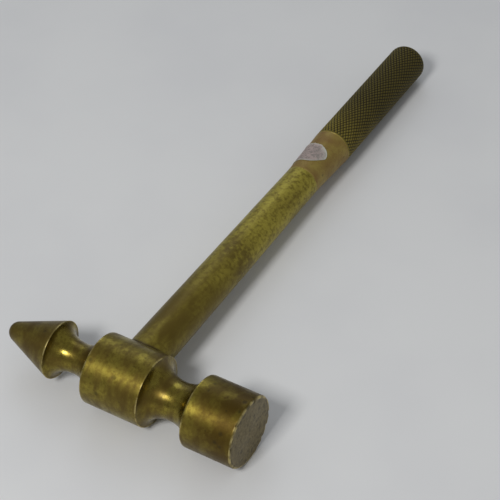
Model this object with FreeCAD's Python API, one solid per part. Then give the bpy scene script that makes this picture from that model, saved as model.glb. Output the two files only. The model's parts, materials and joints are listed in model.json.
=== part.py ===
import FreeCAD, Part
import math
import os

from FreeCAD import Vector

# Brass hammer whose handle is a nest of four screwdrivers, lying on a level surface.
#
# Each piece is turned about its own axis, so it is drawn as a half section and revolved.
# Tool axes while drawing: X along the head (pein at -X, striking face at +X), Y along the
# handle from the head towards the grip's end, origin where the two axes cross.
# Afterwards all pieces are laid down together: barrel and grip end touch Z = 0.

# --- head, stations along X and radii -------------------------------------------------
BARREL_R = 11.0
HEAD_HALF_LENGTH = 41.3
PEIN_TIP_R = 3.2
PEIN_RIM_X = -23.3
PEIN_RIM_R = 9.15
BARREL_LEFT_X = -8.9
BARREL_RIGHT_X = 10.4
FACE_RIM_X = 25.0
PEIN_NECK_R = 4.8
FACE_NECK_R = 6.0
FACE_EDGE_BREAK = 0.5

# --- shank, stations along Y and radii ------------------------------------------------
SHANK_SEAT_R = 6.5
SHANK_SEAT_Y = 3.0
SHANK_TAPER_START_Y = 9.5
SEAM_Y = 101.5
SHANK_MOUTH_R = 5.72
TENON_R = 4.0
TENON_LENGTH = 8.5
SOCKET_SPARE = 1.0
SHANK_BORE_R = 3.3
SHANK_BORE_END_Y = 34.0
SHANK_THREAD_R = 4.3
SHANK_THREAD_LENGTH = 8.0

# --- screwdriver 1: its handle is the grip --------------------------------------------
GRIP_Y = 121.5
GRIP_END_Y = 178.9
GRIP_R = 6.52
GRIP_END_ROUND = 3.0
GRIP_MOUTH_BREAK = 0.3
FLARE_SAG = 0.07

# --- fits -----------------------------------------------------------------------------
THREAD_CLEARANCE = 0.05
TANG_CLEARANCE = 0.03
LABEL_GAP = 0.03
END_GAP = 0.2

# --- label on the band ----------------------------------------------------------------
LABEL_THICKNESS = 0.12
LABEL_Y0 = 106.3
LABEL_Y1 = 115.2
LABEL_START_DEG = 52.0
LABEL_SWEEP_DEG = 165.0

# Stations (Y) and radii of the nested drivers, largest first. Each lies inside the one before.
NESTED = {
    "driver2": {
        "tip_y": 112.0, "ferrule_y": 128.5, "mouth_y": 134.5, "end_y": 174.5,
        "blade_r": 1.75, "nose_r": 2.6, "handle_r": 4.2, "thread_r": 3.45, "bore_r": 2.8,
        "thread_length": 6.0, "end_wall": 2.0, "tang": 4.4, "edge": 0.7, "grind": 7.0, "tip": 0.7,
    },
    "driver3": {
        "tip_y": 134.9, "ferrule_y": 144.0, "mouth_y": 148.0, "end_y": 172.2,
        "blade_r": 1.1, "nose_r": 1.55, "handle_r": 2.6, "thread_r": 2.0, "bore_r": 1.58,
        "thread_length": 4.5, "end_wall": 1.4, "tang": 3.2, "edge": 0.4, "grind": 4.5, "tip": 0.45,
    },
}
DRIVER1 = {
    "tip_y": 38.0, "blade_r": 2.5, "tang_end_y": 108.4, "bore_r": 4.45, "cavity_y": 111.5,
    "thread_r": 5.3, "thread_length": 8.0, "end_wall": 4.0, "grind": 14.0, "tip": 0.9,
}
DRIVER4 = {
    "tip_y": 148.4, "mouth_y": 157.0, "end_y": 170.6, "blade_r": 0.8, "handle_r": 1.4,
    "tang": 4.0, "edge": 0.3, "grind": 3.2, "tip": 0.3,
}

PARTS_FOLDER = "parts"
AXIS_ORIGIN = Vector(0, 0, 0)
HEAD_AXIS = Vector(1, 0, 0)
HANDLE_AXIS = Vector(0, 1, 0)


def revolved(edges, axis):
    """Turn a closed half section about one of the two tool axes."""
    face = Part.Face(Part.Wire(Part.__sortEdges__(edges)))
    return face.revolve(AXIS_ORIGIN, axis, 360)


def handle_outline(points):
    """Closed polygon of (y, radius) stations beside the handle axis."""
    corners = [Vector(radius, y, 0) for y, radius in points]
    return Part.makePolygon(corners + corners[:1]).Edges


def turned(points):
    """Round piece on the handle axis from (y, radius) stations, closed along the axis."""
    ends = [(points[0][0], 0.0)] + points + [(points[-1][0], 0.0)]
    return revolved(handle_outline(ends), HANDLE_AXIS)


def drilled(piece, radius, start_y, end_y):
    """Round hole on the handle axis."""
    base = Vector(0, start_y, 0)
    return piece.cut(Part.makeCylinder(radius, end_y - start_y, base, HANDLE_AXIS))


def cove_quarter(throat_x, rim_x, rim_r, throat_r):
    """Quarter ellipse that falls from a rim, square to the axis there, to the throat."""
    rim = Vector(rim_x, rim_r, 0)
    throat = Vector(throat_x, throat_r, 0)
    half_length = abs(rim_x - throat_x)
    depth = rim_r - throat_r
    side = math.copysign(half_length * math.sqrt(0.5), rim_x - throat_x)
    middle = Vector(throat_x + side, rim_r - depth * math.sqrt(0.5), 0)
    ellipse = Part.Ellipse(Vector(throat_x, rim_r, 0), half_length, depth)
    spans = sorted(ellipse.parameter(point) for point in (rim, throat))
    arc = Part.ArcOfEllipse(ellipse, spans[0], spans[1])
    if arc.toShape().distToShape(Part.Vertex(middle))[0] > 1e-3:
        arc = Part.ArcOfEllipse(ellipse, spans[1], spans[0] + 2 * math.pi)
    return arc.toShape()


def pein_edges():
    """Rounded tip and the straight cone that leaves it tangentally for the rim."""
    centre_x = -HEAD_HALF_LENGTH + PEIN_TIP_R
    along = PEIN_RIM_X - centre_x
    reach = math.hypot(along, PEIN_RIM_R)
    angle = math.atan2(PEIN_RIM_R, along) + math.acos(PEIN_TIP_R / reach)
    halfway = (angle + math.pi) / 2

    def on_tip(turn):
        return Vector(centre_x + PEIN_TIP_R * math.cos(turn), PEIN_TIP_R * math.sin(turn), 0)

    tip = Part.Arc(on_tip(math.pi), on_tip(halfway), on_tip(angle)).toShape()
    cone = Part.makeLine(on_tip(angle), Vector(PEIN_RIM_X, PEIN_RIM_R, 0))
    return [tip, cone]


def hammer_head():
    """One turned bar: pein, neck, barrel, neck, striking face, and the socket for the shank."""
    edges = pein_edges()
    pein_throat_x = (PEIN_RIM_X + BARREL_LEFT_X) / 2
    face_throat_x = (BARREL_RIGHT_X + FACE_RIM_X) / 2
    edges.append(cove_quarter(pein_throat_x, PEIN_RIM_X, PEIN_RIM_R, PEIN_NECK_R))
    edges.append(cove_quarter(pein_throat_x, BARREL_LEFT_X, BARREL_R, PEIN_NECK_R))
    edges.append(Part.makeLine(Vector(BARREL_LEFT_X, BARREL_R, 0), Vector(BARREL_RIGHT_X, BARREL_R, 0)))
    edges.append(cove_quarter(face_throat_x, BARREL_RIGHT_X, BARREL_R, FACE_NECK_R))
    edges.append(cove_quarter(face_throat_x, FACE_RIM_X, BARREL_R, FACE_NECK_R))
    rest = [
        Vector(FACE_RIM_X, BARREL_R, 0),
        Vector(HEAD_HALF_LENGTH - FACE_EDGE_BREAK, BARREL_R, 0),
        Vector(HEAD_HALF_LENGTH, BARREL_R - FACE_EDGE_BREAK, 0),
        Vector(HEAD_HALF_LENGTH, 0, 0),
        Vector(-HEAD_HALF_LENGTH, 0, 0),
    ]
    edges += Part.makePolygon(rest).Edges
    head = revolved(edges, HEAD_AXIS)
    head = drilled(head, SHANK_SEAT_R, SHANK_SEAT_Y, BARREL_R + 1)
    return drilled(head, TENON_R, SHANK_SEAT_Y - TENON_LENGTH - SOCKET_SPARE, SHANK_SEAT_Y)


def handle_shank():
    """Tapered tube: tenon and full-width seat in the head, blade store, threaded mouth."""
    shank = turned([
        (SHANK_SEAT_Y - TENON_LENGTH, TENON_R),
        (SHANK_SEAT_Y, TENON_R),
        (SHANK_SEAT_Y, SHANK_SEAT_R),
        (SHANK_TAPER_START_Y, SHANK_SEAT_R),
        (SEAM_Y, SHANK_MOUTH_R),
    ])
    shank = drilled(shank, SHANK_BORE_R, SHANK_BORE_END_Y, SEAM_Y)
    return drilled(shank, SHANK_THREAD_R, SEAM_Y - SHANK_THREAD_LENGTH, SEAM_Y)


def flare_radius(y):
    """Radius of the gently hollow band between the seam and the grip."""
    share = (y - SEAM_Y) / (GRIP_Y - SEAM_Y)
    return SHANK_MOUTH_R + (GRIP_R - SHANK_MOUTH_R) * share - 4 * FLARE_SAG * share * (1 - share)


def flare_arc():
    """Outline of the band between the seam and the grip."""
    ends = [Vector(flare_radius(y), y, 0) for y in (SEAM_Y, (SEAM_Y + GRIP_Y) / 2, GRIP_Y)]
    return Part.Arc(*ends).toShape()


def driver1_ferrule():
    """Flared band with a neck for the shank's mouth and a hollow neck for the grip."""
    shank_neck_r = SHANK_THREAD_R - THREAD_CLEARANCE
    grip_neck_r = DRIVER1["thread_r"] - THREAD_CLEARANCE
    neck_start_y = SEAM_Y - SHANK_THREAD_LENGTH + END_GAP
    neck_end_y = GRIP_Y + DRIVER1["thread_length"] - END_GAP
    inner = [
        Vector(GRIP_R, GRIP_Y, 0),
        Vector(grip_neck_r, GRIP_Y, 0),
        Vector(grip_neck_r, neck_end_y, 0),
        Vector(0, neck_end_y, 0),
        Vector(0, neck_start_y, 0),
        Vector(shank_neck_r, neck_start_y, 0),
        Vector(shank_neck_r, SEAM_Y, 0),
        Vector(SHANK_MOUTH_R, SEAM_Y, 0),
    ]
    edges = [flare_arc()] + Part.makePolygon(inner).Edges
    ferrule = revolved(edges, HANDLE_AXIS)
    ferrule = drilled(ferrule, DRIVER1["bore_r"], DRIVER1["cavity_y"], neck_end_y)
    tang_r = DRIVER1["blade_r"] + TANG_CLEARANCE
    return drilled(ferrule, tang_r, neck_start_y, DRIVER1["tang_end_y"] + END_GAP)


def flat_blade(tip_y, end_y, radius, ground_length, tip_thickness):
    """Round steel rod whose end is ground to a flat tip by two sloping faces."""
    rod = Part.makeCylinder(radius, end_y - tip_y, Vector(0, tip_y, 0), HANDLE_AXIS)
    full = radius * 1.1
    half_tip = tip_thickness / 2
    side = [
        Vector(-full, tip_y, half_tip),
        Vector(-full, tip_y + ground_length, full),
        Vector(-full, end_y, full),
        Vector(-full, end_y, -full),
        Vector(-full, tip_y + ground_length, -full),
        Vector(-full, tip_y, -half_tip),
    ]
    wedge = Part.Face(Part.makePolygon(side + side[:1])).extrude(Vector(2 * full, 0, 0))
    return rod.common(wedge)


def driver1_blade():
    """Largest blade, kept in the hollow shank."""
    return flat_blade(DRIVER1["tip_y"], DRIVER1["tang_end_y"], DRIVER1["blade_r"],
                      DRIVER1["grind"], DRIVER1["tip"])


def driver1_handle():
    """Grip: knurled tube with a closed, rounded end."""
    middle = GRIP_END_ROUND * (1 - math.sqrt(0.5))
    outline = [
        Vector(GRIP_R, GRIP_END_Y - GRIP_END_ROUND, 0),
        Vector(GRIP_R, GRIP_Y + GRIP_MOUTH_BREAK, 0),
        Vector(GRIP_R - GRIP_MOUTH_BREAK, GRIP_Y, 0),
        Vector(0, GRIP_Y, 0),
        Vector(0, GRIP_END_Y, 0),
        Vector(GRIP_R - GRIP_END_ROUND, GRIP_END_Y, 0),
    ]
    corner = Part.Arc(outline[-1], Vector(GRIP_R - middle, GRIP_END_Y - middle, 0), outline[0])
    grip = revolved([corner.toShape()] + Part.makePolygon(outline).Edges, HANDLE_AXIS)
    grip = drilled(grip, DRIVER1["bore_r"], GRIP_Y, GRIP_END_Y - DRIVER1["end_wall"])
    return drilled(grip, DRIVER1["thread_r"], GRIP_Y, GRIP_Y + DRIVER1["thread_length"])


def price_label():
    """Torn paper remnant: a thin skin that follows the band part of the way round."""
    stations = (LABEL_Y0, (LABEL_Y0 + LABEL_Y1) / 2, LABEL_Y1)
    inner = [Vector(flare_radius(y) + LABEL_GAP, y, 0) for y in stations]
    outer = [corner + Vector(LABEL_THICKNESS, 0, 0) for corner in inner]
    strip = Part.Face(Part.makePolygon(inner + outer[::-1] + inner[:1]))
    skin = strip.revolve(AXIS_ORIGIN, HANDLE_AXIS, -LABEL_SWEEP_DEG)
    skin.rotate(AXIS_ORIGIN, HANDLE_AXIS, -LABEL_START_DEG)
    return skin


def nested_ferrule(d):
    """Cone-nosed ferrule with a hollow threaded neck for its handle."""
    neck_r = d["thread_r"] - THREAD_CLEARANCE
    neck_end_y = d["mouth_y"] + d["thread_length"] - END_GAP
    ferrule = turned([
        (d["ferrule_y"], d["nose_r"]),
        (d["mouth_y"], d["handle_r"]),
        (d["mouth_y"], neck_r),
        (neck_end_y, neck_r),
    ])
    ferrule = drilled(ferrule, d["bore_r"], d["mouth_y"], neck_end_y)
    return drilled(ferrule, d["blade_r"] + TANG_CLEARANCE, d["ferrule_y"],
                   d["ferrule_y"] + d["tang"] + END_GAP)


def nested_blade(d):
    """Flat blade with its round tang in the ferrule."""
    return flat_blade(d["tip_y"], d["ferrule_y"] + d["tang"], d["blade_r"], d["grind"], d["tip"])


def nested_handle(d):
    """Closed-ended tube with broken edges, bored for the next driver down."""
    edge = d["edge"]
    handle = turned([
        (d["mouth_y"], d["handle_r"] - edge / 2),
        (d["mouth_y"] + edge / 2, d["handle_r"]),
        (d["end_y"] - edge, d["handle_r"]),
        (d["end_y"], d["handle_r"] - edge),
    ])
    handle = drilled(handle, d["bore_r"], d["mouth_y"], d["end_y"] - d["end_wall"])
    return drilled(handle, d["thread_r"], d["mouth_y"], d["mouth_y"] + d["thread_length"])


def driver4_handle():
    """Smallest handle, solid, with a hole for the blade's tang."""
    edge = DRIVER4["edge"]
    handle = turned([
        (DRIVER4["mouth_y"], DRIVER4["blade_r"] + edge),
        (DRIVER4["mouth_y"] + 2 * edge, DRIVER4["handle_r"]),
        (DRIVER4["end_y"] - edge, DRIVER4["handle_r"]),
        (DRIVER4["end_y"], DRIVER4["handle_r"] - edge),
    ])
    return drilled(handle, DRIVER4["blade_r"], DRIVER4["mouth_y"],
                   DRIVER4["mouth_y"] + DRIVER4["tang"])


def driver4_blade():
    """Smallest blade, pressed into its handle."""
    return flat_blade(DRIVER4["tip_y"], DRIVER4["mouth_y"] + DRIVER4["tang"],
                      DRIVER4["blade_r"], DRIVER4["grind"], DRIVER4["tip"])


def resting_slope():
    """Angle in radians by which the handle falls towards the grip when barrel and grip touch."""
    along = GRIP_END_Y - GRIP_END_ROUND
    across = GRIP_R - GRIP_END_ROUND
    drop = BARREL_R - GRIP_END_ROUND
    return math.asin(drop / math.hypot(along, across)) - math.atan2(across, along)


def lay_down(piece):
    """Tip a piece about the head axis onto the surface and centre the whole tool in plan."""
    slope = resting_slope()
    along = GRIP_END_Y - GRIP_END_ROUND
    across = GRIP_R - GRIP_END_ROUND
    far_y = along * math.cos(slope) + across * math.sin(slope) + GRIP_END_ROUND
    piece.rotate(AXIS_ORIGIN, HEAD_AXIS, -math.degrees(slope))
    piece.translate(Vector(0, -(far_y - BARREL_R) / 2, BARREL_R))
    return piece


def all_pieces():
    """Every piece by name, still on the tool axes."""
    pieces = {
        "hammer_head": hammer_head(),
        "handle_shank": handle_shank(),
        "driver1_ferrule": driver1_ferrule(),
        "driver1_blade": driver1_blade(),
        "driver1_handle": driver1_handle(),
        "price_label": price_label(),
        "driver4_handle": driver4_handle(),
        "driver4_blade": driver4_blade(),
    }
    for name, sizes in NESTED.items():
        pieces[name + "_ferrule"] = nested_ferrule(sizes)
        pieces[name + "_blade"] = nested_blade(sizes)
        pieces[name + "_handle"] = nested_handle(sizes)
    return pieces


os.makedirs(PARTS_FOLDER, exist_ok=True)
for node, shape in all_pieces().items():
    solid = lay_down(shape)
    solid.exportStep(os.path.join(PARTS_FOLDER, node + ".step"))
    print("%-16s valid=%s solids=%d volume=%.1f" % (node, solid.isValid(), len(solid.Solids), solid.Volume))
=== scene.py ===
"""Looks of a small all-brass hammer whose screwed handle is a nest of flat-blade screwdrivers.

Every piece is turned work, so it is drawn as a half section and spun, with its real relief cut
into the mesh: knurling, screw threads, softened edges, dings and the battered striking face.
Sizes are in millimetres on the tool's own axes (X along the head, Y along the handle, both
through the point where they cross) and are laid into the frame by ToolAxes.
"""

import json
import logging
import math
from dataclasses import dataclass, field
from enum import Enum
from functools import cache
from typing import Callable

import bpy
import numpy as np
from mathutils import Matrix, Vector, noise


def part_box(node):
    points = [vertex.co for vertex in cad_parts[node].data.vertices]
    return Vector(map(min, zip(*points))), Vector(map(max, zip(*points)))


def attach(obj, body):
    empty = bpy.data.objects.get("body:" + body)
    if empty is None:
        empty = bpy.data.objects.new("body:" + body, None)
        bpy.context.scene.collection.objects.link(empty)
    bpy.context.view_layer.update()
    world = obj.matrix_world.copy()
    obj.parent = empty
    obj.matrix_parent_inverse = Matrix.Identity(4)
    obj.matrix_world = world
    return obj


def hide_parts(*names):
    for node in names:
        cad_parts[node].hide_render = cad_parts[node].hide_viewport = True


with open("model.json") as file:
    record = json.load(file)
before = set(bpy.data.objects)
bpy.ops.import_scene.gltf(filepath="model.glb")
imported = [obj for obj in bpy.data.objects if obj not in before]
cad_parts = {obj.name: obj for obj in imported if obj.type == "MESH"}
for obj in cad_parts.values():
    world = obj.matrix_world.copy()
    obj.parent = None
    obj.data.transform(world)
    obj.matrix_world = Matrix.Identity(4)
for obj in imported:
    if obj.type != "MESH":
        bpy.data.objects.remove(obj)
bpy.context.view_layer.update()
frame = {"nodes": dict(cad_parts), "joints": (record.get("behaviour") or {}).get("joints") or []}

log = logging.getLogger("brass_hammer")

MM = 0.001


# ---------------------------------------------------------------------------------------
# Placing
# ---------------------------------------------------------------------------------------

@dataclass(frozen=True, eq=False)
class ToolAxes:
    """The tool's own axes inside the frame: X along the head, Y along the handle.

    Attributes:
        origin: Point where the two axes cross, in metres, in the frame.
        slope: Angle in radians by which the handle falls towards the grip's end.
    """

    origin: Vector
    slope: float

    @classmethod
    def from_frame(cls) -> "ToolAxes":
        """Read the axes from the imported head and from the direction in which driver 1 draws out.

        Returns:
            The tool's axes.
        """
        low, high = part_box("hammer_head")
        draw = next(j for j in frame["joints"] if j["name"] == "driver1_pull")["axis"]
        return cls((low + high) / 2, math.atan2(-draw[2], draw[1]))

    def turn(self) -> Matrix:
        """Rotation that lays the level tool down onto its grip."""
        return Matrix.Rotation(-self.slope, 3, "X")

    def place(self, points: np.ndarray) -> np.ndarray:
        """Move points from the tool's axes to the frame.

        Args:
            points: Positions in millimetres, one row each.

        Returns:
            The positions in metres, in the frame.
        """
        return points @ np.array(self.turn()).T * MM + np.array(self.origin)

    @cache
    def reach(self, node: str) -> tuple[np.ndarray, np.ndarray]:
        """Lowest and highest corner of a CAD node, measured along the tool's axes.

        Args:
            node: Name of the CAD node.

        Returns:
            The two corners, in millimetres.
        """
        points = np.array([v.co for v in frame["nodes"][node].data.vertices])
        local = (points - np.array(self.origin)) @ np.array(self.turn()) / MM
        return local.min(0), local.max(0)

    def span(self, node: str) -> tuple[float, float]:
        """Stations of the two ends of a CAD node along the handle."""
        low, high = self.reach(node)
        return float(low[1]), float(high[1])

    def radius(self, node: str) -> float:
        """Greatest radius of a CAD node round the handle's axis."""
        return float(self.reach(node)[1][0])


AXES = ToolAxes.from_frame()


# ---------------------------------------------------------------------------------------
# Turned work
# ---------------------------------------------------------------------------------------

# Rounding of corners: angle from which one counts as straight, share of a side that may be cut
# away, and greatest turn between two rings.
STRAIGHT_DEG = 178
LONGEST_CUT = 0.45
STEP_DEG = 18
# Least turn of a corner, in radians, that gets worn, or gets dirt and painted shade.
EDGE_TURN = 0.15


class Spindle(Enum):
    """The axis a piece was turned about."""

    HEAD = "head"
    HANDLE = "handle"


@dataclass(frozen=True)
class Corner:
    """One corner of a half section.

    Attributes:
        along: Station along the spindle, in millimetres.
        radius: Distance from the spindle, in millimetres.
        soften: Radius that the corner is rounded to.
        part: Name of the surface that leads up to this corner.
        step: Greatest distance between rings on that surface.
    """

    along: float
    radius: float
    soften: float = 0.0
    part: str = "plain"
    step: float = 3.0


@dataclass
class Rings:
    """A half section cut into rings, ready to be spun.

    Attributes:
        along: Station of each ring.
        radius: Radius of each ring.
        part: Surface that each ring lies on.
        wear: How far each ring is rubbed bright, from 0 to 1.
        grime_and_shade: How far each ring collects dirt and painted shade, from 0 to 1.
    """

    along: np.ndarray
    radius: np.ndarray
    part: np.ndarray
    wear: np.ndarray
    grime_and_shade: np.ndarray

    @property
    def normals(self) -> np.ndarray:
        """Outward direction of each ring in the half section.

        Returns:
            Rows of (along, radius).
        """
        ahead_along, ahead_radius = np.gradient(self.along), np.gradient(self.radius)
        length = np.hypot(ahead_along, ahead_radius) + 1e-9
        return np.stack([-ahead_radius / length, ahead_along / length], axis=1)


def soften_corner(before: Corner, corner: Corner,
                  after: Corner) -> tuple[list[tuple[float, float]], float]:
    """Round one corner of a half section.

    Args:
        before: The corner before it.
        corner: The corner to round.
        after: The corner after it.

    Returns:
        The points of the rounding, and its turn: positive where metal stands out.
    """
    here = np.array([corner.along, corner.radius])
    back = np.array([before.along, before.radius]) - here
    ahead = np.array([after.along, after.radius]) - here
    back_length, ahead_length = np.linalg.norm(back), np.linalg.norm(ahead)
    back, ahead = back / back_length, ahead / ahead_length
    turn = -(-back[0] * ahead[1] + back[1] * ahead[0])
    inside = math.acos(float(np.clip(back @ ahead, -1, 1)))
    if corner.soften <= 0 or inside > math.radians(STRAIGHT_DEG) or corner.radius <= 0:
        return [(corner.along, corner.radius)], turn
    longest = LONGEST_CUT * min(back_length, ahead_length)
    cut = min(corner.soften / math.tan(inside / 2), longest)
    radius = cut * math.tan(inside / 2)
    centre = here + (back + ahead) / np.linalg.norm(back + ahead) * radius / math.sin(inside / 2)
    first, last = here + back * cut - centre, here + ahead * cut - centre
    sweep = math.acos(float(np.clip(first @ last / radius ** 2, -1, 1)))
    count = max(3, int(sweep / math.radians(STEP_DEG)) + 1)
    points = []
    for k in range(count + 1):
        share = k / count
        mix = first * math.sin((1 - share) * sweep) + last * math.sin(share * sweep)
        points.append(tuple(centre + mix / math.sin(sweep)))
    return points, turn


def cut_rings(corners: list[Corner], wear_mm: float) -> Rings:
    """Cut a half section into rings.

    Args:
        corners: The section's corners; the first and the last lie on the spindle.
        wear_mm: How far from a standing edge the metal is rubbed bright.

    Returns:
        The rings, with their wear and their dirt and painted shade.
    """
    points: list[tuple[float, float]] = []
    parts: list[str] = []
    edges: list[tuple[int, float]] = []
    for k, corner in enumerate(corners):
        if 0 < k < len(corners) - 1:
            rounding, turn = soften_corner(corners[k - 1], corner, corners[k + 1])
        else:
            rounding, turn = [(corner.along, corner.radius)], 0.0
        if points:
            start, end = np.array(points[-1]), np.array(rounding[0])
            count = int(math.ceil(np.linalg.norm(end - start) / corner.step))
            for j in range(1, count):
                points.append(tuple(start + (end - start) * j / count))
                parts.append(corner.part)
        middle = len(points) + len(rounding) // 2
        if abs(turn) > EDGE_TURN:
            edges.append((middle, turn))
        points += rounding
        parts += [corner.part] * len(rounding)
    line = np.array(points)
    travel = np.concatenate([[0], np.cumsum(np.linalg.norm(np.diff(line, axis=0), axis=1))])
    wear, grime_and_shade = np.zeros(len(line)), np.zeros(len(line))
    for at, turn in edges:
        bell = np.exp(-((travel - travel[at]) / wear_mm) ** 2) * min(1.0, abs(turn) * 1.3)
        # Standing edges are rubbed bright; sunken corners get dirt and painted shade.
        target = wear if turn > 0 else grime_and_shade
        np.maximum(target, bell, out=target)
    return Rings(line[:, 0], line[:, 1], np.array(parts), wear, grime_and_shade)


@dataclass
class Surface:
    """What a relief works on: every vertex of the spun surface, as (ring, column) arrays.

    Attributes:
        along: Station of each vertex.
        radius: Radius of each vertex.
        angle: Angle of each vertex round the spindle.
        part: Surface that each vertex lies on.
        lift: How far each vertex is raised, square to the surface.
        wear: How far each vertex is rubbed bright, from 0 to 1.
        grime_and_shade: How far each vertex collects dirt and painted shade, from 0 to 1.
    """

    along: np.ndarray
    radius: np.ndarray
    angle: np.ndarray
    part: np.ndarray
    lift: np.ndarray
    wear: np.ndarray
    grime_and_shade: np.ndarray

    @property
    def polish(self) -> np.ndarray:
        """Where the turner's polish has stayed: in hollows that nothing rubs."""
        return (self.part == "neck").astype(float)

    @property
    def across(self) -> np.ndarray:
        """Distance of each vertex from the spindle, sideways."""
        return self.radius * np.cos(self.angle)

    @property
    def up(self) -> np.ndarray:
        """Height of each vertex above the spindle."""
        return self.radius * np.sin(self.angle)

    def turn_from(self, turn: float) -> np.ndarray:
        """Angle between each vertex and one direction round the spindle, from 0 to half a turn."""
        return np.abs((self.angle - turn + math.pi) % (2 * math.pi) - math.pi)

    def within(self, start: float, end: float, fade: float) -> np.ndarray:
        """How far each vertex is inside a stretch of the spindle.

        Args:
            start: Station where the stretch starts.
            end: Station where it ends.
            fade: Length over which the share rises at each end.

        Returns:
            0 outside the stretch and 1 well inside it.
        """
        return np.clip(np.minimum(self.along - start, end - self.along) / fade, 0, 1)

    def soil_and_shade(self, share: np.ndarray) -> None:
        """Leave dirt and painted shade where the share is above what is there."""
        np.maximum(self.grime_and_shade, share, out=self.grime_and_shade)


Relief = Callable[[Surface], None]


def spin(name: str, corners: list[Corner], wear_mm: float, columns: int, reliefs: list[Relief],
         spindle: Spindle = Spindle.HANDLE, press: Callable[[np.ndarray], np.ndarray] | None = None,
         sharp_deg: float = 32.0) -> bpy.types.Object:
    """Spin a half section into a closed mesh and lay it into the frame.

    Args:
        name: Name of the piece.
        corners: The section's corners; the first and the last lie on the spindle.
        wear_mm: How far from a standing edge the metal is rubbed bright.
        columns: Vertices in each ring.
        reliefs: Reliefs that raise or cut the surface and mark it as worn, or as darkened with dirt and
            painted shade.
        spindle: The axis to turn about.
        press: Optional last step that moves the points, such as grinding a blade flat.
        sharp_deg: Edges that turn by more than this are shaded sharp.

    Returns:
        The new object.
    """
    rings = cut_rings(corners, wear_mm)
    angle = np.linspace(0, 2 * math.pi, columns, endpoint=False)
    inner = slice(1, -1)
    shape = (len(rings.along) - 2, columns)

    def spread(values: np.ndarray) -> np.ndarray:
        """Repeat the value of each ring in every column."""
        return np.repeat(values[inner, None], columns, axis=1)

    surface = Surface(along=spread(rings.along), radius=spread(rings.radius),
                      angle=np.repeat(angle[None, :], shape[0], axis=0), part=spread(rings.part),
                      lift=np.zeros(shape), wear=spread(rings.wear), grime_and_shade=spread(rings.grime_and_shade))
    for relief in reliefs:
        relief(surface)
    normals = rings.normals[inner]
    along = surface.along + surface.lift * normals[:, :1]
    radius = np.maximum(surface.radius + surface.lift * normals[:, 1:], 0.01)
    across, up = radius * np.cos(surface.angle), radius * np.sin(surface.angle)
    order = (along, across, up) if spindle is Spindle.HEAD else (across, along, up)
    points = np.stack([a.ravel() for a in order], axis=1)
    ends = np.zeros((2, 3))
    ends[:, 0 if spindle is Spindle.HEAD else 1] = rings.along[[0, -1]]
    points = np.concatenate([points, ends])
    if press is not None:
        points = press(points)
    rows = shape[0]
    first, last = rows * columns, rows * columns + 1
    faces: list[tuple[int, ...]] = []
    for i in range(columns):
        j = (i + 1) % columns
        faces.append((first, i, j))
        faces += [(r * columns + i, (r + 1) * columns + i, (r + 1) * columns + j, r * columns + j)
                  for r in range(rows - 1)]
        faces.append(((rows - 1) * columns + i, last, (rows - 1) * columns + j))
    if spindle is Spindle.HANDLE:
        faces = [face[::-1] for face in faces]
    piece = add_mesh(name, AXES.place(points), faces, sharp_deg)
    for key in ("wear", "grime_and_shade", "polish"):
        values = getattr(surface, key)
        mark(piece, key, np.concatenate([values.ravel(), [values[0].mean(), values[-1].mean()]]))
    return piece


def mark(piece: bpy.types.Object, key: str, values: np.ndarray) -> None:
    """Give the vertices of a piece a value that its material reads.

    Args:
        piece: The piece.
        key: Name of the value.
        values: One value for each vertex.
    """
    layer = piece.data.attributes.new(key, "FLOAT", "POINT")
    layer.data.foreach_set("value", values.astype(np.float32))


def add_mesh(name: str, points: np.ndarray, faces: list[tuple[int, ...]],
             sharp_deg: float) -> bpy.types.Object:
    """Make a smooth-shaded mesh object with sharp edges where it turns hard.

    Args:
        name: Name of the object.
        points: Vertex positions in the frame, in metres.
        faces: Vertex numbers of each face.
        sharp_deg: Edges that turn by more than this are shaded sharp.

    Returns:
        The new object.
    """
    mesh = bpy.data.meshes.new(name)
    mesh.from_pydata(points.tolist(), [], faces)
    mesh.update()
    mesh.polygons.foreach_set("use_smooth", [True] * len(mesh.polygons))
    mesh.set_sharp_from_angle(angle=math.radians(sharp_deg))
    piece = bpy.data.objects.new(name, mesh)
    bpy.context.scene.collection.objects.link(piece)
    return piece


# ---------------------------------------------------------------------------------------
# Reliefs
# ---------------------------------------------------------------------------------------

@dataclass(frozen=True)
class DiamondKnurl:
    """Crossed grooves rolled into a handle at 30 degrees each side of its axis.

    Attributes:
        pitch: Distance between grooves, square to them, in millimetres.
        depth: Depth of the grooves.
        start: Station where the knurling starts.
        end: Station where it ends.
        fade: Length over which it runs out at each end.
        part: Name of the surface that it is cut in.
        helix_deg: Angle between the grooves and the axis.
        flank: How steep the grooves are; higher is narrower.
    """

    pitch: float
    depth: float
    start: float
    end: float
    fade: float = 0.5
    part: str = "knurl"
    helix_deg: float = 30.0
    flank: float = 2.5

    def grooves_round(self, radius: float) -> int:
        """Number of grooves of one hand that fit round the handle."""
        return round(2 * math.pi * radius * math.cos(math.radians(self.helix_deg)) / self.pitch)

    def __call__(self, surface: Surface) -> None:
        """Cut the grooves and darken them with painted shade and dirt.

        Args:
            surface: The surface to work on.
        """
        here = surface.part == self.part
        radius = float(surface.radius[here].max())
        count = self.grooves_round(radius)
        lead = math.tan(math.radians(self.helix_deg)) / radius
        twist = (surface.along - self.start) * lead

        def groove(sign: int) -> np.ndarray:
            """Nearness to the grooves of one hand: 1 in a groove, 0 midway between two."""
            phase = (surface.angle + sign * twist) * count / (2 * math.pi)
            return 1 - 2 * np.abs(phase - np.round(phase))

        cut = np.clip(np.maximum(groove(1), groove(-1)) * self.flank - (self.flank - 1), 0, 1)
        cut = cut * surface.within(self.start, self.end, self.fade) * here
        surface.lift -= self.depth * cut
        # Painted shade and dirt in the grooves.
        surface.soil_and_shade(np.clip(cut * 1.3, 0, 1))


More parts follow.
